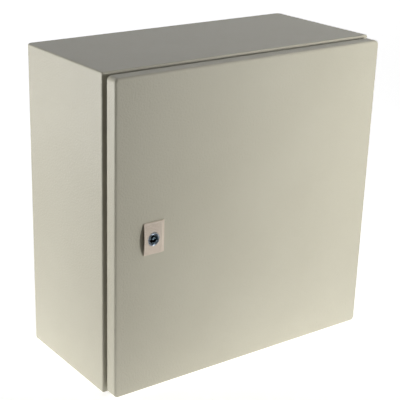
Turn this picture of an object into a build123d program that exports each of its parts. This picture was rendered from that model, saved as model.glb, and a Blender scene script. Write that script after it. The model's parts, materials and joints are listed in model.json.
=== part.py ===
from build123d import *
import os

# Wall-mounted steel enclosure with a hinged door, in millimetres.
# X runs to the right, the front faces -Y and Z is up. The origin is on the wall, in the
# middle of the wall-fixing holes. "Out" is the distance from the wall towards the front.

# Overall size
width = 400.0
height = 400.0
depth = 200.0

# Case
case_sheet = 1.5
case_bend = 2.0
rear_bend = 7.0
flange_width = 16.0
lip_rise = 12.5
lip_return = 8.0
lip_corner = 5.0

# Door
door_sheet = 1.5
door_reveal = 2.5
door_gap = 6.5
door_flange = 17.0
door_bend = 3.0
door_corner = 6.0

# Foamed seal on the door
seal_width = 12.0
seal_corner = 10.0
seal_round = 3.5
seal_clearance = 0.3

# Wall-fixing holes
wall_hole = 8.5
wall_hole_inset = 35.0

# Mounting plate and its shouldered studs
plate_sheet = 2.0
plate_margin = 8.0
plate_corner = 6.0
stud_inset = 20.0
stud_collar = 14.0
stud_height = 13.0
stud_tail = 14.0
stud_clearance = 1.0

# Nuts and washers for the 8 mm threads
big_thread = 8.0
big_nut_flats = 13.0
big_nut_height = 6.5
big_washer = 16.0
big_washer_height = 1.6
thread_chamfer = 0.8
thread_play = 0.1

# Cable entry in the bottom
entry_width = 240.0
entry_depth = 80.0
entry_corner = 10.0
entry_from_wall = 90.0

# Gland plate over the entry
gland_margin = 20.0
gland_sheet = 1.5
gland_corner = 6.0
gland_seal_height = 2.5
gland_stud_columns = 3
gland_stud = 5.0
gland_stud_tail = 8.0
gland_stud_clearance = 0.6
gland_nut_flats = 8.0
gland_nut_height = 5.0

# Protective-earth studs
earth_stud_height = 18.0
earth_base = 13.0
earth_base_height = 2.0
case_earth_from_gland = 25.0
case_earth_from_wall = 130.0
door_earth_from_side = 47.5
door_earth_from_bottom = 42.5

# Hinge line
hinge_from_end = 70.0
hinge_from_side = 6.5
hinge_from_front = 10.0
hinge_eye = 8.0
hinge_pin = 5.0
bracket_play = 0.1
leaf_play = 0.16

# Hinge bracket on the case
bracket_height = 36.0
bracket_sheet = 2.5
bracket_left = 7.5
bracket_right = 1.0
bracket_web_right = 2.4

# Hinge leaf inside the door
leaf_sheet = 2.5
leaf_end_gap = 0.3
leaf_left = 6.5
leaf_right = 0.7
notch_gap = 5.0
notch_corner = 2.0

# Hinge pin and its clip
pin_head = 8.0
pin_head_height = 1.5
pin_head_bevel = 0.5
pin_tail = 3.0
clip_diameter = 9.0
clip_sheet = 0.8
clip_gap = 0.2
clip_groove = 0.5
clip_opening = 3.0

# Perforated door rails
rail_from_end = 47.5
rail_inset = 90.0
rail_sheet = 1.5
rail_foot = 13.0
rail_rise = 20.0
rail_top = 16.0
rail_bend = 2.5
rail_hole_spacing = 50.0
rail_hole = 4.5

# Lock body
lock_inset = 50.0
lock_above_middle = 2.0
lock_barrel = 18.0
lock_flats = 16.4
lock_play = 0.4
lock_seal_height = 1.0
lock_flange = 21.0
lock_flange_height = 1.4
lock_collar = 16.5
lock_collar_proud = 5.2
lock_collar_bevel = 0.4
lock_nut_flats = 24.0
lock_nut_height = 4.0

# Turning insert
insert_diameter = 12.4
insert_depth = 10.0
insert_recess = 0.6
insert_shank = 10.0
insert_square = 7.0
insert_play = 0.16
insert_well = 9.8
insert_well_depth = 7.5
bit_pin = 4.2
bit_width = 3.0
bit_span = 8.2

# Cam that hooks behind the lip
cam_sheet = 3.0
cam_gap = 0.3
cam_length = 33.0
cam_hub = 18.0
cam_tip = 13.0
cam_play = 0.1
cam_washer = 14.0
cam_washer_height = 1.2
cam_screw = 5.0
cam_screw_depth = 8.0
cam_screw_head = 8.5
cam_screw_head_height = 3.3
cam_screw_socket = 4.0
cam_screw_socket_depth = 2.0

# Moulded escutcheon round the lock
cover_width = 31.0
cover_height = 40.0
cover_left = 13.5
cover_rise = 5.8
cover_low_rise = 3.8
cover_edge = 2.0
cover_end_rise = 1.0
cover_end_edge = 0.8
cover_wall = 1.2
cover_slope = 5.2
cover_play = 0.4

# Places that follow from the sizes above
case_depth = depth - door_flange - door_gap
lip_out = case_depth + lip_rise
lip_width = width - 2 * flange_width
lip_height = height - 2 * flange_width
opening_width = lip_width - 2 * lip_return
opening_height = lip_height - 2 * lip_return
door_width = width - 2 * door_reveal
door_height = height - 2 * door_reveal
door_inner = depth - door_sheet
plate_out = case_sheet + stud_height
floor_z = case_sheet - height / 2
gland_seal_top = floor_z + gland_seal_height
pivot_x = width / 2 - hinge_from_side
pivot_out = depth - hinge_from_front
hinge_z = height / 2 - hinge_from_end
lock_x = lock_inset - door_width / 2
lock_z = lock_above_middle
cam_front = lip_out - case_sheet - cam_gap
cam_rear = cam_front - cam_sheet

UP = (Align.CENTER, Align.CENTER, Align.MIN)
FORWARD = Rot(90, 0, 0)
REARWARD = Rot(-90, 0, 0)


def slab(sketch, out, thickness):
    """Extrude a front-view sketch forward, from a distance out from the wall."""
    return extrude(Plane.XZ.offset(out) * sketch, amount=thickness)


def plan_slab(sketch, bottom, thickness):
    """Extrude a plan-view sketch upward, from a height."""
    return extrude(Plane.XY.offset(bottom) * sketch, amount=thickness)


def frame_sketch(outer_width, outer_height, corner, wall):
    """Front view of a rectangular frame with rounded corners."""
    outside = RectangleRounded(outer_width, outer_height, corner)
    inner_corner = max(corner - wall, case_sheet)
    return outside - RectangleRounded(outer_width - 2 * wall, outer_height - 2 * wall, inner_corner)


def group(places, piece):
    """Separate copies of one piece."""
    return Compound(children=[place * piece for place in places])


# Fasteners, with their axis on Z and their seat at zero

def hex_nut(flats, nut_height, bore):
    outline = RegularPolygon(flats / 2, 6, major_radius=False) - Circle(bore / 2)
    return extrude(outline, amount=nut_height)


def flat_washer(outer, inner, thickness):
    return extrude(Circle(outer / 2) - Circle(inner / 2), amount=thickness)


def stepped_stud(base, base_height, thread, tail):
    """Weld stud with a wide base under its thread."""
    return Cylinder(base / 2, base_height, align=UP) + Cylinder(thread / 2, base_height + tail, align=UP)


# Case: one folded and welded sheet with a rain channel round its opening

def case_block(inset):
    """The case's outer form, or its inside when inset by the sheet."""
    sketch = Rectangle(width - 2 * inset, height - 2 * inset)
    block = slab(sketch, inset, case_depth - 2 * inset)
    rear_edges = block.edges().filter_by(Axis.Z).group_by(Axis.Y)[-1]
    return fillet(rear_edges, rear_bend - inset)


def case_shell():
    """Sides, rear wall and front flange in one thickness."""
    outside = case_block(0)
    end_edges = outside.faces().filter_by(Axis.Z).edges()
    front_edges = outside.edges().filter_by(Axis.Z).group_by(Axis.Y)[0]
    outside = fillet(end_edges + front_edges, case_bend)
    return outside - case_block(case_sheet)


def front_lip():
    """Lip that stands forward from the flange and returns towards the opening."""
    rise = frame_sketch(lip_width, lip_height, lip_corner, case_sheet)
    lip = slab(rise, case_depth - case_sheet, lip_rise + case_sheet)
    back = frame_sketch(lip_width, lip_height, lip_corner, lip_return)
    lip += slab(back, lip_out - case_sheet, case_sheet)
    rim = lip.faces().sort_by(Axis.Y)[0].outer_wire().edges()
    return fillet(rim, case_bend)


def wall_hole_places():
    spread_x = width - 2 * wall_hole_inset
    spread_z = height - 2 * wall_hole_inset
    return GridLocations(spread_x, spread_z, 2, 2)


def gland_stud_places():
    spread_x = entry_width + gland_margin
    spread_y = entry_depth + gland_margin
    columns = gland_stud_columns
    return Pos(0, -entry_from_wall) * GridLocations(spread_x / (columns - 1), spread_y, columns, 2)


def enclosure_body():
    body = case_shell()
    opening = RectangleRounded(lip_width, lip_height, lip_corner)
    body -= slab(opening, case_depth - 2 * case_sheet, 3 * case_sheet)
    body += front_lip()
    for place in wall_hole_places():
        body -= slab(place * Circle(wall_hole / 2), 0, 2 * case_sheet)
    entry = Pos(0, -entry_from_wall) * RectangleRounded(entry_width, entry_depth, entry_corner)
    return body - plan_slab(entry, -height / 2, 2 * case_sheet)


# Mounting plate on four shouldered studs

def stud_places():
    plate_width = opening_width - 2 * plate_margin
    plate_height = opening_height - 2 * plate_margin
    return GridLocations(plate_width - 2 * stud_inset, plate_height - 2 * stud_inset, 2, 2)


def on_studs(out, piece):
    """A copy of a piece on each stud, facing forward."""
    places = [Pos(0, -out, 0) * FORWARD * place for place in stud_places()]
    return group(places, piece)


def mounting_plate():
    plate_width = opening_width - 2 * plate_margin
    plate_height = opening_height - 2 * plate_margin
    sketch = RectangleRounded(plate_width, plate_height, plate_corner)
    for place in stud_places():
        sketch -= place * Circle((big_thread + stud_clearance) / 2)
    return slab(sketch, plate_out, plate_sheet)


def mounting_studs():
    stud = stepped_stud(stud_collar, stud_height, big_thread, stud_tail)
    return on_studs(case_sheet, stud)


def mounting_washers():
    washer = flat_washer(big_washer, big_thread + stud_clearance / 2, big_washer_height)
    return on_studs(plate_out + plate_sheet, washer)


def mounting_nuts():
    nut = hex_nut(big_nut_flats, big_nut_height, big_thread + thread_play)
    return on_studs(plate_out + plate_sheet + big_washer_height, nut)


# Cable entry, closed by a plate on weld studs

def gland_outline():
    outline_width = entry_width + 2 * gland_margin
    outline_depth = entry_depth + 2 * gland_margin
    sketch = Pos(0, -entry_from_wall) * RectangleRounded(outline_width, outline_depth, gland_corner)
    for place in gland_stud_places():
        sketch -= place * Circle((gland_stud + gland_stud_clearance) / 2)
    return sketch


def gland_seal():
    entry = Pos(0, -entry_from_wall) * RectangleRounded(entry_width, entry_depth, entry_corner)
    return plan_slab(gland_outline() - entry, floor_z, gland_seal_height)


def gland_plate():
    return plan_slab(gland_outline(), gland_seal_top, gland_sheet)


def gland_studs():
    length = gland_seal_height + gland_sheet + gland_stud_tail
    places = [Pos(0, 0, floor_z) * place for place in gland_stud_places()]
    return group(places, Cylinder(gland_stud / 2, length, align=UP))


def gland_nuts():
    nut = hex_nut(gland_nut_flats, gland_nut_height, gland_stud + thread_play)
    places = [Pos(0, 0, gland_seal_top + gland_sheet) * place for place in gland_stud_places()]
    return group(places, nut)


# Protective-earth studs, each with a washer and a nut

def earth_bond(place):
    """Stud, washer and nut at one place."""
    stud = stepped_stud(earth_base, earth_base_height, big_thread, earth_stud_height - earth_base_height)
    washer = flat_washer(big_washer, big_thread + stud_clearance / 2, big_washer_height)
    nut = hex_nut(big_nut_flats, big_nut_height, big_thread + thread_play)
    washer_place = place * Pos(0, 0, earth_base_height)
    nut_place = washer_place * Pos(0, 0, big_washer_height)
    return place * stud, washer_place * washer, nut_place * nut


# Hinges: a bracket on the case, a leaf in the door and a headed pin through both

def eye_sketch(arm):
    """Plan view of a hinge ear: its arm and the round end about the pivot."""
    return arm + Circle(hinge_eye / 2)


def box_sketch(left, right, rear, front):
    """Plan-view rectangle between two x values and two y values."""
    middle = Pos((left + right) / 2, (rear + front) / 2)
    return middle * Rectangle(right - left, rear - front)


def two_ears(sketch, web, total, sheet):
    """Folded strip: a web with an ear at each end, about the pivot."""
    ears = plan_slab(sketch + web, -total / 2, total)
    between = plan_slab(sketch - web, sheet - total / 2, total - 2 * sheet)
    return ears - between


def hinge_bracket(z):
    rear = pivot_out - case_depth
    arm = box_sketch(-bracket_left, bracket_right, rear, hinge_eye / 2)
    arm += make_hull(Circle(hinge_eye / 2).edges() + box_sketch(
        bracket_right - hinge_eye, bracket_right, hinge_eye, hinge_eye / 2).edges())
    web = box_sketch(-bracket_left, bracket_web_right, rear, rear - bracket_sheet)
    bracket = two_ears(eye_sketch(arm), web, bracket_height, bracket_sheet)
    bracket -= Cylinder((hinge_pin + bracket_play) / 2, bracket_height)
    return Pos(pivot_x, -pivot_out, z) * bracket


def leaf_height():
    return bracket_height - 2 * bracket_sheet - 2 * leaf_end_gap


def hinge_leaf(z):
    front = pivot_out - door_inner
    foot = box_sketch(-leaf_left, leaf_right, front + leaf_sheet, front)
    arm = make_hull(Circle(hinge_eye / 2).edges() + foot.edges())
    leaf = two_ears(arm, foot, leaf_height(), leaf_sheet)
    leaf -= Cylinder((hinge_pin + leaf_play) / 2, leaf_height())
    return Pos(pivot_x, -pivot_out, z) * leaf


def hinge_pin_piece(z):
    top = bracket_height / 2
    length = bracket_height + pin_tail
    shaft = Pos(0, 0, top - length) * Cylinder(hinge_pin / 2, length, align=UP)
    shaft = chamfer(shaft.edges().sort_by(Axis.Z)[0], thread_chamfer)
    head = Pos(0, 0, top) * Cylinder(pin_head / 2, pin_head_height, align=UP)
    head = chamfer(head.edges().sort_by(Axis.Z)[-1], pin_head_bevel)
    groove = flat_washer(2 * hinge_pin, hinge_pin - 2 * clip_groove, clip_sheet + clip_gap)
    groove_z = -top - clip_gap - clip_sheet - clip_gap / 2
    return Pos(pivot_x, -pivot_out, z) * (shaft + head - Pos(0, 0, groove_z) * groove)


def hinge_clips():
    """Open ring in the groove under each bracket."""
    bore = hinge_pin - 2 * clip_groove + thread_play
    ring = Circle(clip_diameter / 2) - Circle(bore / 2)
    ring -= Pos(0, -clip_diameter / 2) * Rectangle(clip_opening, clip_diameter)
    clip = extrude(ring, amount=clip_sheet)
    below = bracket_height / 2 + clip_gap + clip_sheet
    places = [Pos(pivot_x, -pivot_out, z - below) for z in (hinge_z, -hinge_z)]
    return group(places, clip)


# Door: a folded pan, notched on its right flange for the hinges

def door_block(inset, rear):
    """The door's outer form, or its inside when inset by the sheet."""
    corner = door_corner - inset
    sketch = RectangleRounded(door_width - 2 * inset, door_height - 2 * inset, corner)
    block = slab(sketch, rear, depth - inset - rear)
    front_rim = block.faces().sort_by(Axis.Y)[0].edges()
    return fillet(front_rim, door_bend - inset)


def hinge_notch(z):
    """Cutter for the flange in front of one hinge."""
    notch_height = bracket_height + 2 * notch_gap
    notch_depth = door_flange - door_bend
    rear = depth - door_flange
    sketch = Rectangle(2 * notch_depth, notch_height)
    sketch = fillet(sketch.vertices(), notch_corner)
    side = Plane.YZ.offset(door_width / 2 - door_bend) * Pos(-rear, z) * sketch
    return extrude(side, amount=2 * door_bend)


def lock_section(play):
    """Front view of the lock barrel, round with two flats."""
    return Circle((lock_barrel + play) / 2) & Rectangle(lock_flats + play, 2 * lock_barrel)


def door_panel():
    panel = door_block(0, depth - door_flange)
    panel -= door_block(door_sheet, depth - 2 * door_flange)
    for z in (hinge_z, -hinge_z):
        panel -= hinge_notch(z)
    return panel - slab(Pos(lock_x, lock_z) * lock_section(lock_play), door_inner, door_sheet)


def door_seal():
    """Foamed ring that meets the middle of the lip's return."""
    middle = lip_width - lip_return
    seal_outer_width = middle + seal_width
    seal_outer_height = lip_height - lip_return + seal_width
    rear = lip_out + seal_clearance
    sketch = RectangleRounded(seal_outer_width, seal_outer_height, seal_corner + seal_width / 2)
    sketch -= RectangleRounded(seal_outer_width - 2 * seal_width, seal_outer_height - 2 * seal_width,
                               seal_corner - seal_width / 2)
    seal = slab(sketch, rear, door_inner - rear)
    return fillet(seal.faces().sort_by(Axis.Y)[-1].edges(), seal_round)


def door_rail(side):
    """Folded strip with a row of holes, on one side of the door."""
    half = rail_sheet / 2
    foot_y = half - door_inner
    top_y = rail_rise - half - door_inner
    web_x = door_width / 2 - rail_inset
    fold_line = FilletPolyline((web_x + rail_foot, foot_y), (web_x, foot_y), (web_x, top_y),
                               (web_x - rail_top, top_y), radius=rail_bend)
    rail_height = door_height - 2 * rail_from_end
    rail = plan_slab(trace(fold_line, line_width=rail_sheet), -rail_height / 2, rail_height)
    hole_count = int(rail_height / rail_hole_spacing)
    hole_x = web_x - rail_top / 2
    for place in Pos(hole_x, 0) * GridLocations(0, rail_hole_spacing, 1, hole_count):
        rail -= slab(place * Circle(rail_hole / 2), door_inner - rail_rise, rail_sheet)
    return rail if side > 0 else mirror(rail, about=Plane.YZ)


# Lock: body, seal and nut stay with the door

def at_lock(out):
    return Pos(lock_x, -out, lock_z) * FORWARD


def lock_housing():
    rear = cam_front + cam_gap / 2
    flange_out = depth + lock_seal_height
    collar_front = depth + lock_collar_proud
    barrel = extrude(lock_section(0), amount=flange_out - rear)
    flange = Pos(0, 0, flange_out - rear) * Cylinder(lock_flange / 2, lock_flange_height, align=UP)
    collar = Cylinder(lock_collar / 2, collar_front - flange_out, align=UP)
    collar = chamfer(collar.edges().sort_by(Axis.Z)[-1], lock_collar_bevel)
    housing = barrel + flange + Pos(0, 0, flange_out - rear) * collar
    seat = collar_front - insert_recess - insert_depth - insert_play / 2
    pocket = Cylinder((insert_diameter + insert_play) / 2, depth, align=UP)
    housing -= Pos(0, 0, seat - rear) * pocket
    housing -= Cylinder((insert_shank + insert_play) / 2, depth)
    return at_lock(rear) * housing


def lock_seal():
    bore = lock_barrel + lock_play
    return at_lock(depth) * flat_washer(lock_flange, bore, lock_seal_height)


def lock_nut():
    nut = hex_nut(lock_nut_flats, lock_nut_height, lock_barrel + thread_play)
    return at_lock(door_inner - lock_nut_height) * nut


def lock_insert():
    """Barrel with a well in front, two bits on a pin, and a square for the cam."""
    front = depth + lock_collar_proud - insert_recess
    shoulder = front - insert_depth
    barrel = Pos(0, 0, shoulder - cam_front) * Cylinder(insert_diameter / 2, insert_depth, align=UP)
    barrel += Cylinder(insert_shank / 2, shoulder - cam_front, align=UP)
    bits = Circle(bit_pin / 2) + (Circle(bit_span / 2) & Rectangle(bit_span, bit_width))
    well = extrude(Circle(insert_well / 2) - bits, amount=insert_well_depth)
    barrel -= Pos(0, 0, front - cam_front - insert_well_depth) * well
    square_length = cam_sheet - cam_gap
    barrel += Pos(0, 0, -square_length) * extrude(Rectangle(insert_square, insert_square), amount=square_length)
    thread = Cylinder((cam_screw + thread_play) / 2, cam_screw_depth + square_length, align=UP)
    return at_lock(cam_front) * (barrel - Pos(0, 0, -square_length) * thread)


def lock_cam():
    """Tapered tongue, hanging down while the lock is open."""
    tip = Pos(0, cam_tip / 2 - cam_length) * Circle(cam_tip / 2)
    outline = make_hull(Circle(cam_hub / 2).edges() + tip.edges())
    outline -= Rectangle(insert_square + cam_play, insert_square + cam_play)
    return at_lock(cam_rear) * extrude(outline, amount=cam_sheet)


def cam_washer_piece():
    washer = flat_washer(cam_washer, cam_screw + 2 * thread_play, cam_washer_height)
    return at_lock(cam_rear - cam_washer_height) * washer


def cam_screw_piece():
    """Cheese-head screw with a socket, seated on the washer."""
    head_rear = cam_rear - cam_washer_height - cam_screw_head_height
    head = Cylinder(cam_screw_head / 2, cam_screw_head_height, align=UP)
    head = chamfer(head.edges().sort_by(Axis.Z)[0], thread_chamfer)
    socket = RegularPolygon(cam_screw_socket / 2, 6, major_radius=False)
    head -= extrude(socket, amount=cam_screw_socket_depth)
    length = cam_washer_height + cam_sheet + cam_screw_depth - thread_chamfer
    shaft = Pos(0, 0, cam_screw_head_height) * Cylinder(cam_screw / 2, length, align=UP)
    return at_lock(head_rear) * (head + shaft)


# Escutcheon: an arched shell that opens to the left as a finger grip and slopes down to the right

def arch_profile(place_x, rise, edge, wall):
    """Section across the arch: straight sides under a curved crown."""
    half = cover_height / 2 - wall
    foot = -depth
    side = foot - edge + wall
    crown = foot - rise + wall
    outline = Polyline((side, half), (foot, half), (foot, -half), (side, -half))
    outline += ThreePointArc((side, -half), (crown, 0), (side, half))
    return Plane.YZ.offset(place_x) * Pos(0, lock_z) * make_face(outline)


def lock_escutcheon():
    left_x = lock_x - cover_left
    right_x = left_x + cover_width
    slope_x = right_x - cover_slope
    high = arch_profile(left_x, cover_rise, cover_edge, 0)
    low = arch_profile(slope_x, cover_low_rise, cover_edge, 0)
    end = arch_profile(right_x, cover_end_rise, cover_end_edge, 0)
    arch = loft([high, low], ruled=True) + loft([low, end], ruled=True)
    grip = arch_profile(left_x, cover_rise, cover_edge, cover_wall)
    grip_end = arch_profile(slope_x, cover_low_rise, cover_edge, cover_wall)
    arch -= loft([grip, grip_end], ruled=True)
    hole = Circle((lock_collar + cover_play) / 2)
    return arch - slab(Pos(lock_x, lock_z) * hole, depth, cover_rise)


def all_pieces():
    """Every piece by its node name."""
    case_earth_x = entry_width / 2 + gland_margin + case_earth_from_gland
    case_earth = earth_bond(Pos(case_earth_x, -case_earth_from_wall, floor_z))
    door_earth_x = door_width / 2 - door_earth_from_side
    door_earth_z = door_earth_from_bottom - door_height / 2
    door_earth = earth_bond(Pos(door_earth_x, -door_inner, door_earth_z) * REARWARD)
    return {
        "enclosure_body": enclosure_body(),
        "mounting_plate": mounting_plate(),
        "mounting_studs": mounting_studs(),
        "mounting_washers": mounting_washers(),
        "mounting_nuts": mounting_nuts(),
        "gland_plate": gland_plate(),
        "gland_seal": gland_seal(),
        "gland_studs": gland_studs(),
        "gland_nuts": gland_nuts(),
        "case_earth_stud": case_earth[0],
        "case_earth_washer": case_earth[1],
        "case_earth_nut": case_earth[2],
        "hinge_bracket_upper": hinge_bracket(hinge_z),
        "hinge_bracket_lower": hinge_bracket(-hinge_z),
        "hinge_pin_upper": hinge_pin_piece(hinge_z),
        "hinge_pin_lower": hinge_pin_piece(-hinge_z),
        "hinge_clips": hinge_clips(),
        "door_panel": door_panel(),
        "door_seal": door_seal(),
        "door_rail_left": door_rail(-1),
        "door_rail_right": door_rail(1),
        "hinge_leaf_upper": hinge_leaf(hinge_z),
        "hinge_leaf_lower": hinge_leaf(-hinge_z),
        "door_earth_stud": door_earth[0],
        "door_earth_washer": door_earth[1],
        "door_earth_nut": door_earth[2],
        "lock_housing": lock_housing(),
        "lock_seal": lock_seal(),
        "lock_nut": lock_nut(),
        "lock_escutcheon": lock_escutcheon(),
        "lock_insert": lock_insert(),
        "lock_cam": lock_cam(),
        "cam_washer": cam_washer_piece(),
        "cam_screw": cam_screw_piece(),
    }


os.makedirs("parts", exist_ok=True)
for name, piece in all_pieces().items():
    export_step(piece, os.path.join("parts", name + ".step"))
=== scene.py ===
import json
import math

import bmesh
import bpy
from mathutils import Matrix, Vector


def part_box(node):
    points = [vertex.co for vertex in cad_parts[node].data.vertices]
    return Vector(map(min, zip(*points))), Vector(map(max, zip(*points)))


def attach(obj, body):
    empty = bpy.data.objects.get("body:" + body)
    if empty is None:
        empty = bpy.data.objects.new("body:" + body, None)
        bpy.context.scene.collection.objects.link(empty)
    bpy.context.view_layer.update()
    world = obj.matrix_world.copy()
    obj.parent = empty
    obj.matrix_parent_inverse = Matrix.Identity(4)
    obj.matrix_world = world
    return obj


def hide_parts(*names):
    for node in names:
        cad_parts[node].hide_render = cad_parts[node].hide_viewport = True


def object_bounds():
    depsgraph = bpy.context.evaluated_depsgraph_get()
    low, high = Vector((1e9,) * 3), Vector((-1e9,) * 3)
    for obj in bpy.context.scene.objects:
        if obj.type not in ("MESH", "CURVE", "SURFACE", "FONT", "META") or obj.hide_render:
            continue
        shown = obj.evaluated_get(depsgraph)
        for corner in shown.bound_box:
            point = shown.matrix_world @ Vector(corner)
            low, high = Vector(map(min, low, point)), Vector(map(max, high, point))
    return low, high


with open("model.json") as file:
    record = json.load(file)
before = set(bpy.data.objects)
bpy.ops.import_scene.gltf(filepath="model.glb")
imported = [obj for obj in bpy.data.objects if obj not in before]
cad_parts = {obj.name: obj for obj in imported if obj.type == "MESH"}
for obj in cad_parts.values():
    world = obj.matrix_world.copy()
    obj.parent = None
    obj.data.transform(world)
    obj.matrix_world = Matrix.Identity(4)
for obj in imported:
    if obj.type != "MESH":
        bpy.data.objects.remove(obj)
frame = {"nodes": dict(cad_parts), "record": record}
CAD_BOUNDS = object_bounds()
NODES = frame["nodes"]
BEHAVIOUR = frame["record"]["behaviour"]

# Camera, fitted to the corners of the case and the door in the photograph
PHOTO_SIZE = 400
SENSOR_MM = 36
CAMERA_PLACE = Vector((-0.79356, -1.14672, 0.47509))
CAMERA_FORWARD = Vector((0.523797, 0.771176, -0.361836))
CAMERA_RIGHT = Vector((0.830019, -0.557579, 0.013184))
FOCAL_PIXELS = 1065.7
CENTRE_PIXEL = (149.6, 215.4)

# Threads and nuts, in metres
M8 = 0.008
M8_PITCH = 0.00125
M8_NUT_BORE = 0.0081
M8_NUT_FLATS = 0.013
M5 = 0.005
M5_PITCH = 0.0008
M5_NUT_BORE = 0.0051
M5_NUT_FLATS = 0.008
M5_NUT_FLANGE = 0.0115
SHOULDER_DIAMETER = 0.014
SHOULDER_HEIGHT = 0.013
WELD_FOOT_DIAMETER = 0.013
WELD_FOOT_HEIGHT = 0.002
FASTENER_BEVEL = 0.0005
SINK = 0.0004

# Lock, in metres from its axis and from the wall; the axis is the record's joint
LOCK_X, _, LOCK_Z = next(row["pos_m"] for row in BEHAVIOUR["joints"] if row["name"] == "lock_turn")
DOOR_FACE = 0.2
LOCK_SEGMENTS = 96
LOCK_SEAL = 0.001
LOCK_FLANGE_RADIUS = 0.0105
LOCK_FLANGE_HEIGHT = 0.0014
LOCK_NUT_FLATS = 0.024
LOCK_NUT_BORE = 0.0181
BARREL_RADIUS = 0.009
BARREL_HALF_FLATS = 0.0082
BARREL_PITCH = 0.001
BARREL_THREAD_DEPTH = 0.0005
COLLAR_RADIUS = 0.00825
COLLAR_BORE_RADIUS = 0.00628
SHANK_BORE_RADIUS = 0.00508
INSERT_RADIUS = 0.0062
INSERT_DEPTH = 0.010
SHANK_RADIUS = 0.0050
SQUARE_HALF = 0.0035
SQUARE_LENGTH = 0.0027
WELL_RADIUS = 0.0049
WELL_DEPTH = 0.0075
PIN_RADIUS = 0.0021
BIT_REACH = 0.0041
BIT_HALF_HEIGHT = 0.0015
BIT_SUNK = 0.0028
BIT_BEVEL = 0.0003
BIT_TOP_LENGTH = 0.95
BIT_TOP_WIDTH = 0.9
NOTCH_START = 0.004
# Painted shade down the lock's well: where it begins along Y, and where it is full
NOTCH_DEPTH = 0.0030
SHADE_MOUTH_Y = -0.2051
SHADE_FULL_Y = -0.2036

# Lock cover, in metres; along runs from its left end and across from its middle
COVER_LENGTH = 0.031
COVER_HALF_HEIGHT = 0.020
COVER_INNER_HALF_HEIGHT = 0.019
COVER_LEFT_OF_LOCK = 0.0135
COVER_WALL = 0.0010
COVER_HOLE_RADIUS = 0.00845
COVER_COLUMNS = 62
COVER_ROWS = 161
HOLLOW_LENGTH = 0.0255
SLOPE_START = 0.0262
SLOPE_END = 0.0308
SLOPE_FOOT = 0.0008
LEFT_EDGE = 0.0012
LEFT_CROWN = 0.0045
RIGHT_EDGE = 0.0016
RIGHT_CROWN = 0.0021
RIB_DEPTH = 0.0004
RIB_PITCH = 0.0020
RIB_START = 0.0018
RIB_END = 0.0252
RIB_HALF_HEIGHT = 0.0185
RIB_FREE_RADIUS = 0.0095
RIB_FREE_FADE = 0.0015
RIB_END_FADE = 0.001
GRIP_BULGE = 0.0022
GRIP_LENGTH = 0.006

# Colours, linear
POWDER_LIGHT = (0.62, 0.592, 0.475, 1)
POWDER_DARK = (0.595, 0.566, 0.45, 1)
ZINC_LIGHT = (0.66, 0.67, 0.68, 1)
ZINC_DARK = (0.50, 0.51, 0.53, 1)
CHROME = (0.62, 0.66, 0.72, 1)
# Teal-tinted painted shade; the chrome deep in the lock's well and behind it is multiplied by it
WELL_PAINTED_SHADE = (0.36, 0.47, 0.50, 1)
BEIGE_LIGHT = (0.82, 0.71, 0.59, 1)
BEIGE_DARK = (0.76, 0.65, 0.54, 1)
CHROME_SHADE = 0.93
FOAM_LIGHT = (0.075, 0.075, 0.08, 1)
FOAM_DARK = (0.045, 0.045, 0.05, 1)
RUBBER_LIGHT = (0.03, 0.03, 0.03, 1)
RUBBER_DARK = (0.018, 0.018, 0.018, 1)
PAPER_LIGHT = (0.92, 0.92, 0.92, 1)
PAPER_DARK = (0.90, 0.90, 0.90, 1)

# Glow of the lit paper on the object, and its lift for the camera, so that it reads as white
FLOOR_HALF = 30.0
FLOOR_GLOW = 0.7
GLOW_START = 0.3
GLOW_END = 0.7
FLOOR_LIFT_FRONT = 0.64
FLOOR_LIFT = 0.82
LIFT_FRONT_Y = -0.28
LIFT_MIDDLE_Y = 0.05
LIFT_BACK_Y = 2.2

# Light of the surroundings
FILL_LEVEL = 0.035
ROOM_LEVEL = 0.15
BACKDROP_LEVEL = 1.0
ROOM_END = -0.2
BACKDROP_START = 0.4

# Directions that fasteners point in
FRONT = (0, -1, 0)
BACK = (0, 1, 0)
UPWARD = (0, 0, 1)


# Materials

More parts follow.
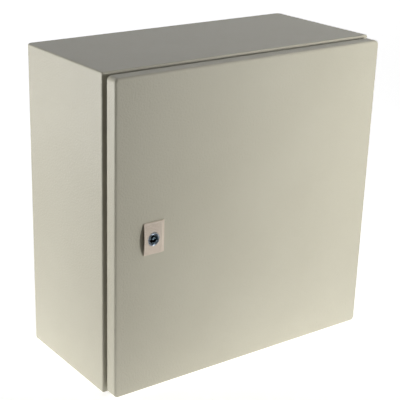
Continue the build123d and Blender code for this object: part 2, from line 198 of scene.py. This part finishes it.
class Surface:
    """A node material whose colour and roughness drift with fine noise."""

    def __init__(self, name, light, dark, metallic=0.0):
        self.material = bpy.data.materials.new(name)
        self.material.use_nodes = True
        self.tree = self.material.node_tree
        self.tree.nodes.clear()
        self.shader = self.add("ShaderNodeBsdfPrincipled")
        self.shader.inputs["Metallic"].default_value = metallic
        output = self.add("ShaderNodeOutputMaterial")
        self.link(self.shader.outputs["BSDF"], output.inputs["Surface"])
        self.place = self.add("ShaderNodeTexCoord").outputs["Object"]
        self.light = light
        self.dark = dark
        self.height = None

    def add(self, kind):
        return self.tree.nodes.new(kind)

    def link(self, source, target):
        self.tree.links.new(source, target)

    def noise(self, scale, detail=3.0, stretch=None):
        noise = self.add("ShaderNodeTexNoise")
        noise.inputs["Scale"].default_value = scale
        noise.inputs["Detail"].default_value = detail
        place = self.place
        if stretch:
            mapping = self.add("ShaderNodeMapping")
            mapping.inputs["Scale"].default_value = stretch
            self.link(place, mapping.inputs["Vector"])
            place = mapping.outputs["Vector"]
        self.link(place, noise.inputs["Vector"])
        return noise.outputs["Fac"]

    def colour_drift(self, scale, detail=4.0):
        ramp = self.add("ShaderNodeValToRGB")
        ramp.color_ramp.elements[0].color = self.dark
        ramp.color_ramp.elements[0].position = 0.3
        ramp.color_ramp.elements[1].color = self.light
        ramp.color_ramp.elements[1].position = 0.7
        self.link(self.noise(scale, detail), ramp.inputs["Fac"])
        self.link(ramp.outputs["Color"], self.shader.inputs["Base Color"])

    def paint_well_shade(self, mouth, bottom, darkest):
        """Painted shade that deepens down a well, from its mouth to its bottom along Y."""
        split = self.add("ShaderNodeSeparateXYZ")
        self.link(self.place, split.inputs[0])
        mix = self.add("ShaderNodeMix")
        mix.data_type = "RGBA"
        mix.blend_type = "MULTIPLY"
        self.link(self.map_range(split.outputs["Y"], mouth, bottom, 0.0, 1.0), mix.inputs["Factor"])
        self.link(self.shader.inputs["Base Color"].links[0].from_socket, mix.inputs["A"])
        mix.inputs["B"].default_value = darkest
        self.link(mix.outputs["Result"], self.shader.inputs["Base Color"])

    def roughness_drift(self, scale, low, high, stretch=None):
        level = self.map_range(self.noise(scale, 3.0, stretch), 0.0, 1.0, low, high)
        self.link(level, self.shader.inputs["Roughness"])

    def map_range(self, value, start, end, low, high):
        spread = self.add("ShaderNodeMapRange")
        spread.inputs["From Min"].default_value = start
        spread.inputs["From Max"].default_value = end
        spread.inputs["To Min"].default_value = low
        spread.inputs["To Max"].default_value = high
        self.link(value, spread.inputs["Value"])
        return spread.outputs["Result"]

    def bump(self, height, distance):
        bump = self.add("ShaderNodeBump")
        bump.inputs["Distance"].default_value = distance
        self.link(height, bump.inputs["Height"])
        if self.height:
            self.link(self.height, bump.inputs["Normal"])
        self.height = bump.outputs["Normal"]
        self.link(self.height, self.shader.inputs["Normal"])


def powder_coat():
    """Powder paint with a fine orange-peel skin."""
    paint = Surface("powder_coat_paint", POWDER_LIGHT, POWDER_DARK)
    paint.colour_drift(9.0)
    paint.roughness_drift(60.0, 0.36, 0.46)
    paint.bump(paint.noise(420.0, 2.0), 0.0005)
    paint.bump(paint.noise(1500.0, 2.0), 0.00001)
    return paint.material


def zinc_plate():
    """Bright zinc plating with a faint rolling grain."""
    zinc = Surface("zinc_plating", ZINC_LIGHT, ZINC_DARK, 1.0)
    zinc.colour_drift(70.0)
    zinc.roughness_drift(240.0, 0.24, 0.42, (1.0, 1.0, 0.12))
    zinc.bump(zinc.noise(900.0, 3.0), 0.000008)
    return zinc.material


def chrome_casting():
    """Polished plating over a zinc casting, with painted shade down the lock's well."""
    shade = tuple(CHROME_SHADE * value for value in CHROME[:3]) + (1,)
    chrome = Surface("chrome_casting", CHROME, shade, 1.0)
    chrome.colour_drift(160.0)
    # Painted shade: the chrome darkens and turns teal with depth down the lock's well
    chrome.paint_well_shade(SHADE_MOUTH_Y, SHADE_FULL_Y, WELL_PAINTED_SHADE)
    chrome.roughness_drift(500.0, 0.12, 0.2)
    chrome.bump(chrome.noise(700.0, 2.0), 0.000006)
    return chrome.material


def beige_moulding():
    """Matt moulded plastic with fine tool lines."""
    plastic = Surface("beige_moulding", BEIGE_LIGHT, BEIGE_DARK)
    plastic.colour_drift(80.0)
    plastic.roughness_drift(400.0, 0.48, 0.6)
    plastic.bump(plastic.noise(300.0, 2.0, (0.05, 0.4, 3.0)), 0.00005)
    plastic.bump(plastic.noise(2200.0, 2.0), 0.00001)
    return plastic.material


def foam_skin():
    """Skin of a foamed-in gasket, with small pores."""
    foam = Surface("foam_skin", FOAM_LIGHT, FOAM_DARK)
    foam.colour_drift(200.0)
    foam.roughness_drift(300.0, 0.62, 0.8)
    foam.bump(foam.noise(600.0, 4.0), 0.00012)
    return foam.material


def sheet_rubber():
    """Dull flat gasket."""
    rubber = Surface("sheet_rubber", RUBBER_LIGHT, RUBBER_DARK)
    rubber.colour_drift(150.0)
    rubber.roughness_drift(300.0, 0.55, 0.72)
    rubber.bump(rubber.noise(800.0, 3.0), 0.00004)
    return rubber.material


MATERIALS = {
    "powder_coat": powder_coat(),
    "zinc_steel": zinc_plate(),
    "lock_zinc": chrome_casting(),
    "cover_plastic": beige_moulding(),
    "foam_seal": foam_skin(),
    "flat_seal": sheet_rubber(),
}


def slot_of(node):
    """The record's slot that a node takes its finish from."""
    for row in frame["record"]["subparts"]:
        if row["node"] == node:
            return row["material_slot"]
    return "powder_coat"


def finish_frame():
    """Give every CAD node the material of its slot."""
    for name, piece in NODES.items():
        for place in piece.material_slots:
            place.material = MATERIALS[slot_of(name)]


# Detailed pieces

def add_piece(node, points, faces, sharp_angle=35):
    """A mesh that stands for a CAD node, with its slot and its body."""
    mesh = bpy.data.meshes.new(node + "_detail")
    mesh.from_pydata(points, [], faces)
    mesh.validate()
    for face in mesh.polygons:
        face.use_smooth = True
    mesh.set_sharp_from_angle(angle=math.radians(sharp_angle))
    mesh.materials.append(MATERIALS[slot_of(node)])
    piece = bpy.data.objects.new(node + "_detail", mesh)
    bpy.context.scene.collection.objects.link(piece)
    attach(piece, body_of_node(node))
    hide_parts(node)
    return piece


def body_of_node(node):
    """The record's body that a node moves with."""
    for body, nodes in BEHAVIOUR["bodies"].items():
        if node in nodes:
            return body
    return "enclosure"


class Shape:
    """Points and faces gathered from rings; local Z is the axis of each form."""

    def __init__(self):
        self.points = []
        self.faces = []

    def rings(self, rings, closed=False):
        """Join rings of equal length; closed joins the last to the first."""
        count = len(rings[0])
        start = len(self.points)
        for ring in rings:
            self.points.extend(ring)
        steps = len(rings) if closed else len(rings) - 1
        for step in range(steps):
            near = start + step * count
            far = start + ((step + 1) % len(rings)) * count
            for place in range(count):
                after = (place + 1) % count
                self.faces.append((near + place, near + after, far + after, far + place))

    def cap(self, ring):
        start = len(self.points)
        self.points.extend(ring)
        self.faces.append(tuple(range(start, start + len(ring))))

    def lathe(self, profile, segments=64, closed=True):
        self.rings([circle(radius, height, segments) for radius, height in profile], closed)

    def placed(self, place):
        return [place @ Vector(point) for point in self.points]


def circle(radius, height, segments):
    angles = [2 * math.pi * step / segments for step in range(segments)]
    return [(radius * math.cos(angle), radius * math.sin(angle), height) for angle in angles]


def hex_ring(flats, height, segments, drop):
    """Points on a hexagon's outline; drop lowers its corners as a nut's bevel does."""
    ring = []
    for step in range(segments):
        angle = 2 * math.pi * step / segments
        nearest = (angle + math.pi / 6) % (math.pi / 3) - math.pi / 6
        radius = flats / 2 / math.cos(nearest)
        lowered = height - drop * (radius - flats / 2)
        ring.append((radius * math.cos(angle), radius * math.sin(angle), lowered))
    return ring


def add_nut(shape, flats, height, bore):
    """Hexagon nut with bevelled ends and a countersunk bore."""
    count = 72
    rim_share = 0.96
    slope = 0.58
    rim = rim_share * flats / 2
    bevel = slope * (flats / 2 - rim)
    rings = [
        circle(bore / 2 + SINK, 0.0, count),
        circle(rim, 0.0, count),
        hex_ring(flats, bevel, count, -slope),
        hex_ring(flats, height - bevel, count, slope),
        circle(rim, height, count),
        circle(bore / 2 + SINK, height, count),
        circle(bore / 2, height - SINK, count),
        circle(bore / 2, SINK, count),
    ]
    shape.rings(rings, True)


def add_thread(shape, diameter, pitch, base, top):
    """Threaded shaft from base to top, with a pointed lead-in at its top."""
    count = 24
    rings_per_turn = 5
    depth_share = 0.6
    depth = depth_share * pitch
    steps = int(round((top - base) / pitch * rings_per_turn))
    rings = []
    for step in range(steps + 1):
        height = base + (top - base) * step / steps
        lead = min(1.0, (top - height) / pitch)
        ring = []
        for place in range(count):
            turn = height / pitch - place / count
            wave = abs(2 * (turn % 1.0) - 1)
            radius = min(diameter / 2 - depth * wave, diameter / 2 - depth * (1 - lead))
            angle = 2 * math.pi * place / count
            ring.append((radius * math.cos(angle), radius * math.sin(angle), height))
        rings.append(ring)
    shape.rings(rings)
    shape.cap(rings[-1])


def turned(direction):
    """Turn that takes local Z to a direction."""
    return Vector(direction).to_track_quat("Z", "Y").to_matrix().to_4x4()


def islands(node):
    """Boxes of a node's separate solids."""
    mesh = NODES[node].data
    parent = list(range(len(mesh.vertices)))

    def root(item):
        while parent[item] != item:
            parent[item] = parent[parent[item]]
            item = parent[item]
        return item

    seen = {}
    for vertex in mesh.vertices:
        key = tuple(round(value, 6) for value in vertex.co)
        if key in seen:
            parent[root(vertex.index)] = root(seen[key])
        seen[key] = vertex.index
    for edge in mesh.edges:
        parent[root(edge.vertices[0])] = root(edge.vertices[1])
    boxes = {}
    for vertex in mesh.vertices:
        low, high = boxes.setdefault(root(vertex.index), (list(vertex.co), list(vertex.co)))
        for axis in range(3):
            low[axis] = min(low[axis], vertex.co[axis])
            high[axis] = max(high[axis], vertex.co[axis])
    return [(Vector(low), Vector(high)) for low, high in boxes.values()]


def seats(node, direction):
    """Where each of a node's solids sits, at the foot of its axis, and how long it is."""
    way = Vector(direction)
    places = []
    for low, high in islands(node):
        middle = (low + high) / 2
        length = abs((high - low).dot(way))
        places.append((middle - way * length / 2, length))
    return places


def add_on_seats(node, direction, make):
    """Stand one shape, made for its length, on each seat of a node and join them in one piece."""
    points = []
    faces = []
    for seat, length in seats(node, direction):
        shape = Shape()
        make(shape, length)
        start = len(points)
        points += shape.placed(Matrix.Translation(seat) @ turned(direction))
        faces += [tuple(start + index for index in face) for face in shape.faces]
    add_piece(node, points, faces)


def add_collar(shape, diameter, height):
    """Round foot of a stud, with bevelled edges."""
    radius = diameter / 2
    bevel = FASTENER_BEVEL
    profile = [
        (0, 0),
        (radius - bevel, 0),
        (radius, bevel),
        (radius, height - bevel),
        (radius - bevel, height),
        (0, height),
    ]
    shape.lathe(profile, closed=False)


def add_nut_flange(shape, diameter, flats, bore):
    """Thin washer face of a flanged nut."""
    thin = 0.0009
    profile = [
        (bore / 2, 0),
        (diameter / 2, 0),
        (diameter / 2, thin),
        (flats / 2, 2 * thin),
        (bore / 2, 2 * thin),
    ]
    shape.lathe(profile)


def add_studs(node, direction, diameter, pitch, collar=0.0, collar_height=0.0):
    def make(shape, length):
        if collar:
            add_collar(shape, collar, collar_height)
        add_thread(shape, diameter, pitch, collar_height, length)

    add_on_seats(node, direction, make)


def add_nuts(node, direction, flats, bore, flange=0.0):
    def make(shape, length):
        if flange:
            add_nut_flange(shape, flange, flats, bore)
        add_nut(shape, flats, length, bore)

    add_on_seats(node, direction, make)


def add_fasteners():
    add_studs("mounting_studs", FRONT, M8, M8_PITCH, SHOULDER_DIAMETER, SHOULDER_HEIGHT)
    add_nuts("mounting_nuts", FRONT, M8_NUT_FLATS, M8_NUT_BORE)
    add_studs("gland_studs", UPWARD, M5, M5_PITCH)
    add_nuts("gland_nuts", UPWARD, M5_NUT_FLATS, M5_NUT_BORE, M5_NUT_FLANGE)
    for owner, direction in (("case", UPWARD), ("door", BACK)):
        add_studs(owner + "_earth_stud", direction, M8, M8_PITCH, WELD_FOOT_DIAMETER, WELD_FOOT_HEIGHT)
        add_nuts(owner + "_earth_nut", direction, M8_NUT_FLATS, M8_NUT_BORE)
    add_nuts("lock_nut", FRONT, LOCK_NUT_FLATS, LOCK_NUT_BORE)


def on_lock_axis():
    """Local Z as the distance from the wall, along the lock's axis."""
    return Matrix.Translation((LOCK_X, 0, LOCK_Z)) @ turned(FRONT)


def lifted(outline, height):
    return [(x, y, height) for x, y in outline]


def rectangle(half_width, half_height):
    return [
        (half_width, half_height),
        (-half_width, half_height),
        (-half_width, -half_height),
        (half_width, -half_height),
    ]


def add_lock_insert():
    """Turning barrel: a well with a keyway notch, a pin with a rounded tip and two sunk bits."""
    low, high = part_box("lock_insert")
    front = -low[1]
    rear = -high[1]
    shoulder = front - INSERT_DEPTH
    bottom = front - WELL_DEPTH
    profile = [
        (0.0, bottom),
        (WELL_RADIUS, bottom),
        (WELL_RADIUS, front - 0.0011),
        (0.0055, front - 0.0004),
        (0.0056, front),
        (0.0059, front),
        (INSERT_RADIUS, front - 0.0003),
        (INSERT_RADIUS, shoulder),
        (SHANK_RADIUS, shoulder),
        (SHANK_RADIUS, rear + SQUARE_LENGTH),
        (0.0, rear + SQUARE_LENGTH),
    ]
    shape = Shape()
    rings = [circle(radius, height, LOCK_SEGMENTS) for radius, height in profile]
    shape.rings([notched(ring, front - NOTCH_DEPTH) for ring in rings])
    square = rectangle(SQUARE_HALF, SQUARE_HALF)
    shape.rings([lifted(square, rear), lifted(square, rear + SQUARE_LENGTH)])
    shape.cap(lifted(square, rear))
    add_key_pin(shape, front, bottom)
    add_bits(shape, front, bottom)
    add_piece("lock_insert", shape.placed(on_lock_axis()), shape.faces)


def notched(ring, floor):
    """Lower a ring's points inside the keyway notch on the right."""
    lowered = []
    for x, y, height in ring:
        if x > NOTCH_START and abs(y) < BIT_HALF_HEIGHT:
            height = min(height, floor)
        lowered.append((x, y, height))
    return lowered


def add_key_pin(shape, front, bottom):
    profile = [
        (0.0, front - 0.0006),
        (0.0008, front - 0.0007),
        (0.0013, front - 0.0011),
        (0.0016, front - 0.0017),
        (PIN_RADIUS, front - 0.0026),
        (PIN_RADIUS, bottom),
    ]
    shape.lathe(profile, 48, False)


def add_bits(shape, front, bottom):
    """The two bits of the pin, as one bar with a bevelled top."""
    bar = rectangle(BIT_REACH, BIT_HALF_HEIGHT)
    top = [(BIT_TOP_LENGTH * x, BIT_TOP_WIDTH * y, front - BIT_SUNK) for x, y in bar]
    shape.rings([lifted(bar, bottom), lifted(bar, front - BIT_SUNK - BIT_BEVEL), top])
    shape.cap(top)


def barrel_rings(rear, top):
    """Threaded barrel with two flats, as rings from its rear to the flange."""
    ring_spacing = 0.0002
    steps = int(round((top - rear) / ring_spacing))
    rings = []
    for step in range(steps + 1):
        height = rear + (top - rear) * step / steps
        ring = []
        for place in range(LOCK_SEGMENTS):
            angle = 2 * math.pi * place / LOCK_SEGMENTS
            wave = abs(2 * ((height / BARREL_PITCH - place / LOCK_SEGMENTS) % 1.0) - 1)
            radius = BARREL_RADIUS - BARREL_THREAD_DEPTH * wave
            across = max(-BARREL_HALF_FLATS, min(BARREL_HALF_FLATS, radius * math.cos(angle)))
            ring.append((across, radius * math.sin(angle), height))
        rings.append(ring)
    return rings


def add_lock_housing():
    """Collar with a rounded rim and a countersunk mouth, its flange, and a threaded barrel."""
    low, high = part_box("lock_housing")
    front = -low[1]
    rear = -high[1]
    flange = DOOR_FACE + LOCK_SEAL
    flange_front = flange + LOCK_FLANGE_HEIGHT
    seat = front - 0.01068
    collar = [
        (LOCK_FLANGE_RADIUS, flange),
        (LOCK_FLANGE_RADIUS, flange_front - 0.0002),
        (LOCK_FLANGE_RADIUS - 0.0002, flange_front),
        (COLLAR_RADIUS, flange_front),
        (COLLAR_RADIUS, front - 0.0005),
        (0.00817, front - 0.0002),
        (0.0080, front),
        (0.0074, front),
        (0.0072, front - 0.0002),
        (0.0064, front - 0.0016),
        (COLLAR_BORE_RADIUS, front - 0.0018),
        (COLLAR_BORE_RADIUS, seat),
        (SHANK_BORE_RADIUS, seat),
        (SHANK_BORE_RADIUS, rear),
    ]
    rings = barrel_rings(rear, flange)
    rings += [circle(radius, height, LOCK_SEGMENTS) for radius, height in collar]
    shape = Shape()
    shape.rings(rings, True)
    add_piece("lock_housing", shape.placed(on_lock_axis()), shape.faces)


def clamped(value):
    return min(1.0, max(0.0, value))


def cover_height(along, across):
    """Height of the cover's outer face over the door."""
    bow = 1 - (across / COVER_HALF_HEIGHT) ** 2
    left = LEFT_EDGE + LEFT_CROWN * bow
    right = RIGHT_EDGE + RIGHT_CROWN * bow
    if along < SLOPE_START:
        return left + (right - left) * along / SLOPE_START
    share = (along - SLOPE_START) / (SLOPE_END - SLOPE_START)
    return right + (SLOPE_FOOT - right) * min(1.0, share)


def cover_rib(along, across):
    """Fine ribs along the cover, which stop short of the lock and of the ends."""
    from_lock = math.hypot(along - COVER_LEFT_OF_LOCK, across)
    fade = clamped((from_lock - RIB_FREE_RADIUS) / RIB_FREE_FADE)
    fade *= clamped((RIB_END - along) / RIB_END_FADE)
    fade *= clamped((along - RIB_START) / RIB_END_FADE)
    fade *= clamped((RIB_HALF_HEIGHT - abs(across)) / RIB_END_FADE)
    return -RIB_DEPTH * fade * (0.5 - 0.5 * math.cos(2 * math.pi * across / RIB_PITCH))


def bulged(along, across):
    """Plan outline of the grip: its left end stands out most in the middle."""
    inset = GRIP_BULGE * (across / COVER_HALF_HEIGHT) ** 2
    return along + inset * max(0.0, 1 - along / GRIP_LENGTH)


def closed_at_door(row):
    """A row of the cover's section, brought down to the door's face at both ends."""
    first = row[0]
    last = row[-1]
    return row + [(last[0], last[1], 0.0), (first[0], first[1], 0.0)]


def add_escutcheon():
    """Moulded arch with a finger grip on its left, ribs on its face and a hole for the lock."""
    left = LOCK_X - COVER_LEFT_OF_LOCK
    slim = COVER_INNER_HALF_HEIGHT / COVER_HALF_HEIGHT
    xs = [COVER_LENGTH * step / (COVER_COLUMNS - 1) for step in range(COVER_COLUMNS)]
    zs = [2 * COVER_HALF_HEIGHT * (step / (COVER_ROWS - 1) - 0.5) for step in range(COVER_ROWS)]
    outer = []
    inner = []
    for x in xs:
        row = [(bulged(x, z), z, cover_height(x, z) + cover_rib(x, z)) for z in zs]
        outer.append(closed_at_door(row))
        if x < HOLLOW_LENGTH:
            row = [(bulged(x, z), z * slim, max(0.0, cover_height(x, z) - COVER_WALL)) for z in zs]
            inner.append(closed_at_door(row))
    shape = Shape()
    shape.rings(outer)
    shape.cap(outer[-1])
    shape.rings(inner[::-1])
    shape.cap(inner[-1][::-1])
    shape.rings([outer[0], inner[0]])
    points = [(left + x, -DOOR_FACE - height, LOCK_Z + z) for x, z, height in shape.points]
    cover = add_piece("lock_escutcheon", points, shape.faces, 40)
    bore_for_lock(cover, COVER_HOLE_RADIUS)


def weld_and_orient(mesh):
    """Join coincident points and turn all faces outward."""
    tidy = bmesh.new()
    tidy.from_mesh(mesh)
    bmesh.ops.remove_doubles(tidy, verts=tidy.verts, dist=1e-7)
    bmesh.ops.recalc_face_normals(tidy, faces=tidy.faces)
    tidy.to_mesh(mesh)
    tidy.free()


def bore_for_lock(piece, radius):
    """Bore a round hole on the lock's axis."""
    reach = 0.01
    rear = DOOR_FACE - reach
    front = DOOR_FACE + reach
    drill = Shape()
    drill.lathe([(radius, rear), (radius, front)], LOCK_SEGMENTS, False)
    drill.cap(circle(radius, rear, LOCK_SEGMENTS))
    drill.cap(circle(radius, front, LOCK_SEGMENTS))
    mesh = bpy.data.meshes.new("drill")
    mesh.from_pydata(drill.placed(on_lock_axis()), [], drill.faces)
    tool = bpy.data.objects.new("drill", mesh)
    bpy.context.scene.collection.objects.link(tool)
    weld_and_orient(mesh)
    weld_and_orient(piece.data)
    cut = piece.modifiers.new("bore", "BOOLEAN")
    cut.operation = "DIFFERENCE"
    cut.solver = "EXACT"
    cut.object = tool
    graph = bpy.context.evaluated_depsgraph_get()
    done = bpy.data.meshes.new_from_object(piece.evaluated_get(graph))
    piece.modifiers.clear()
    piece.data = done
    bpy.data.objects.remove(tool)


# Camera, stage and light

def add_camera():
    """The photograph's camera."""
    data = bpy.data.cameras.new("photo_camera")
    camera = bpy.data.objects.new("photo_camera", data)
    bpy.context.scene.collection.objects.link(camera)
    data.sensor_width = SENSOR_MM
    data.lens = FOCAL_PIXELS * SENSOR_MM / PHOTO_SIZE
    data.shift_x = (PHOTO_SIZE / 2 - CENTRE_PIXEL[0]) / PHOTO_SIZE
    data.shift_y = (CENTRE_PIXEL[1] - PHOTO_SIZE / 2) / PHOTO_SIZE
    data.clip_start = 0.05
    data.clip_end = 100
    forward = CAMERA_FORWARD.normalized()
    right = CAMERA_RIGHT.normalized()
    up = right.cross(forward)
    turn = Matrix((right, up, -forward)).transposed()
    camera.matrix_world = Matrix.Translation(CAMERA_PLACE) @ turn.to_4x4()
    bpy.context.scene.camera = camera


def add_floor():
    """Wide white paper under the object."""
    low = CAD_BOUNDS[0][2]
    mesh = bpy.data.meshes.new("studio_floor")
    sides = ((-1, -1), (1, -1), (1, 1), (-1, 1))
    corners = [(x * FLOOR_HALF, y * FLOOR_HALF, low) for x, y in sides]
    mesh.from_pydata(corners, [], [(0, 1, 2, 3)])
    floor = bpy.data.objects.new("studio_floor", mesh)
    bpy.context.scene.collection.objects.link(floor)
    mesh.materials.append(studio_paper())


def studio_paper():
    """Paper that glows on the object near it and is lifted to white for the camera."""
    paper = Surface("studio_paper", PAPER_LIGHT, PAPER_DARK)
    paper.colour_drift(2.0)
    paper.roughness_drift(3.0, 0.8, 0.9)
    paper.shader.inputs["Emission Color"].default_value = (1, 1, 1, 1)
    distance = paper.add("ShaderNodeVectorMath")
    distance.operation = "LENGTH"
    paper.link(paper.place, distance.inputs[0])
    glow = paper.map_range(distance.outputs["Value"], GLOW_START, GLOW_END, FLOOR_GLOW, 0.0)
    split = paper.add("ShaderNodeSeparateXYZ")
    paper.link(paper.place, split.inputs[0])
    white = paper.add("ShaderNodeMath")
    white.operation = "ADD"
    y = split.outputs["Y"]
    near = paper.map_range(y, LIFT_FRONT_Y, LIFT_MIDDLE_Y, FLOOR_LIFT_FRONT, FLOOR_LIFT)
    far = paper.map_range(y, LIFT_MIDDLE_Y, LIFT_BACK_Y, 0.0, 1.0 - FLOOR_LIFT)
    paper.link(near, white.inputs[0])
    paper.link(far, white.inputs[1])
    lift = paper.add("ShaderNodeMix")
    paper.link(paper.add("ShaderNodeLightPath").outputs["Is Camera Ray"], lift.inputs["Factor"])
    paper.link(glow, lift.inputs["A"])
    paper.link(white.outputs[0], lift.inputs["B"])
    paper.link(lift.outputs["Result"], paper.shader.inputs["Emission Strength"])
    return paper.material


def add_soft_light(name, place, target, size, power, spread=180):
    """Area lamp at a place, turned to a target; spread is the angle of its beam."""
    data = bpy.data.lights.new(name, "AREA")
    data.shape = "RECTANGLE"
    data.size, data.size_y = size
    data.energy = power
    data.spread = math.radians(spread)
    lamp = bpy.data.objects.new(name, data)
    bpy.context.scene.collection.objects.link(lamp)
    aim = Vector(target) - Vector(place)
    lamp.matrix_world = Matrix.Translation(place) @ aim.to_track_quat("-Z", "Y").to_matrix().to_4x4()


def add_world():
    """White to the camera and through clear pieces, and a low fill elsewhere.

    Reflections see a white backdrop behind the object and a darker room in front.
    """
    world = bpy.data.worlds.new("studio_world")
    world.use_nodes = True
    tree = world.node_tree
    tree.nodes.clear()
    output = tree.nodes.new("ShaderNodeOutputWorld")
    ray = tree.nodes.new("ShaderNodeLightPath")
    direction = tree.nodes.new("ShaderNodeTexCoord")
    split = tree.nodes.new("ShaderNodeSeparateXYZ")
    tree.links.new(direction.outputs["Generated"], split.inputs[0])
    room = tree.nodes.new("ShaderNodeMapRange")
    room.inputs["From Min"].default_value = ROOM_END
    room.inputs["From Max"].default_value = BACKDROP_START
    room.inputs["To Min"].default_value = ROOM_LEVEL
    room.inputs["To Max"].default_value = BACKDROP_LEVEL
    tree.links.new(split.outputs["Y"], room.inputs["Value"])
    under = None
    for question in ("", "Is Glossy Ray", "Is Transmission Ray", "Is Camera Ray"):
        level = BACKDROP_LEVEL if question else FILL_LEVEL
        sky = tree.nodes.new("ShaderNodeBackground")
        sky.inputs["Color"].default_value = (level, level, level, 1)
        if question == "Is Glossy Ray":
            tree.links.new(room.outputs["Result"], sky.inputs["Strength"])
        if question:
            choice = tree.nodes.new("ShaderNodeMixShader")
            tree.links.new(ray.outputs[question], choice.inputs[0])
            tree.links.new(under, choice.inputs[1])
            tree.links.new(sky.outputs[0], choice.inputs[2])
            sky = choice
        under = sky.outputs[0]
    tree.links.new(under, output.inputs["Surface"])
    bpy.context.scene.world = world


def light_studio():
    """Surroundings and lamps: the case's left side, the door, the top and the folds."""
    add_world()
    add_soft_light("left_light", (-1.3, 0.65, -0.02), (-0.2, -0.05, -0.15), (1.0, 0.32), power=13)
    add_soft_light("door_light", (0.5, -1.45, 0.25), (0.34, -0.2, 0.08), (0.35, 0.35), power=2.1, spread=66)
    add_soft_light("top_light", (0.2, -0.45, 1.5), (0, -0.15, 0.2), (1.0, 0.8), power=1.1)
    add_soft_light("fold_light", (0.85, -0.7, 1.3), (0, -0.1, 0.2), (0.3, 0.3), power=2.2)


finish_frame()
add_fasteners()
add_lock_insert()
add_lock_housing()
add_escutcheon()
add_camera()
add_floor()
light_studio()
bpy.context.scene.view_settings.view_transform = "Standard"
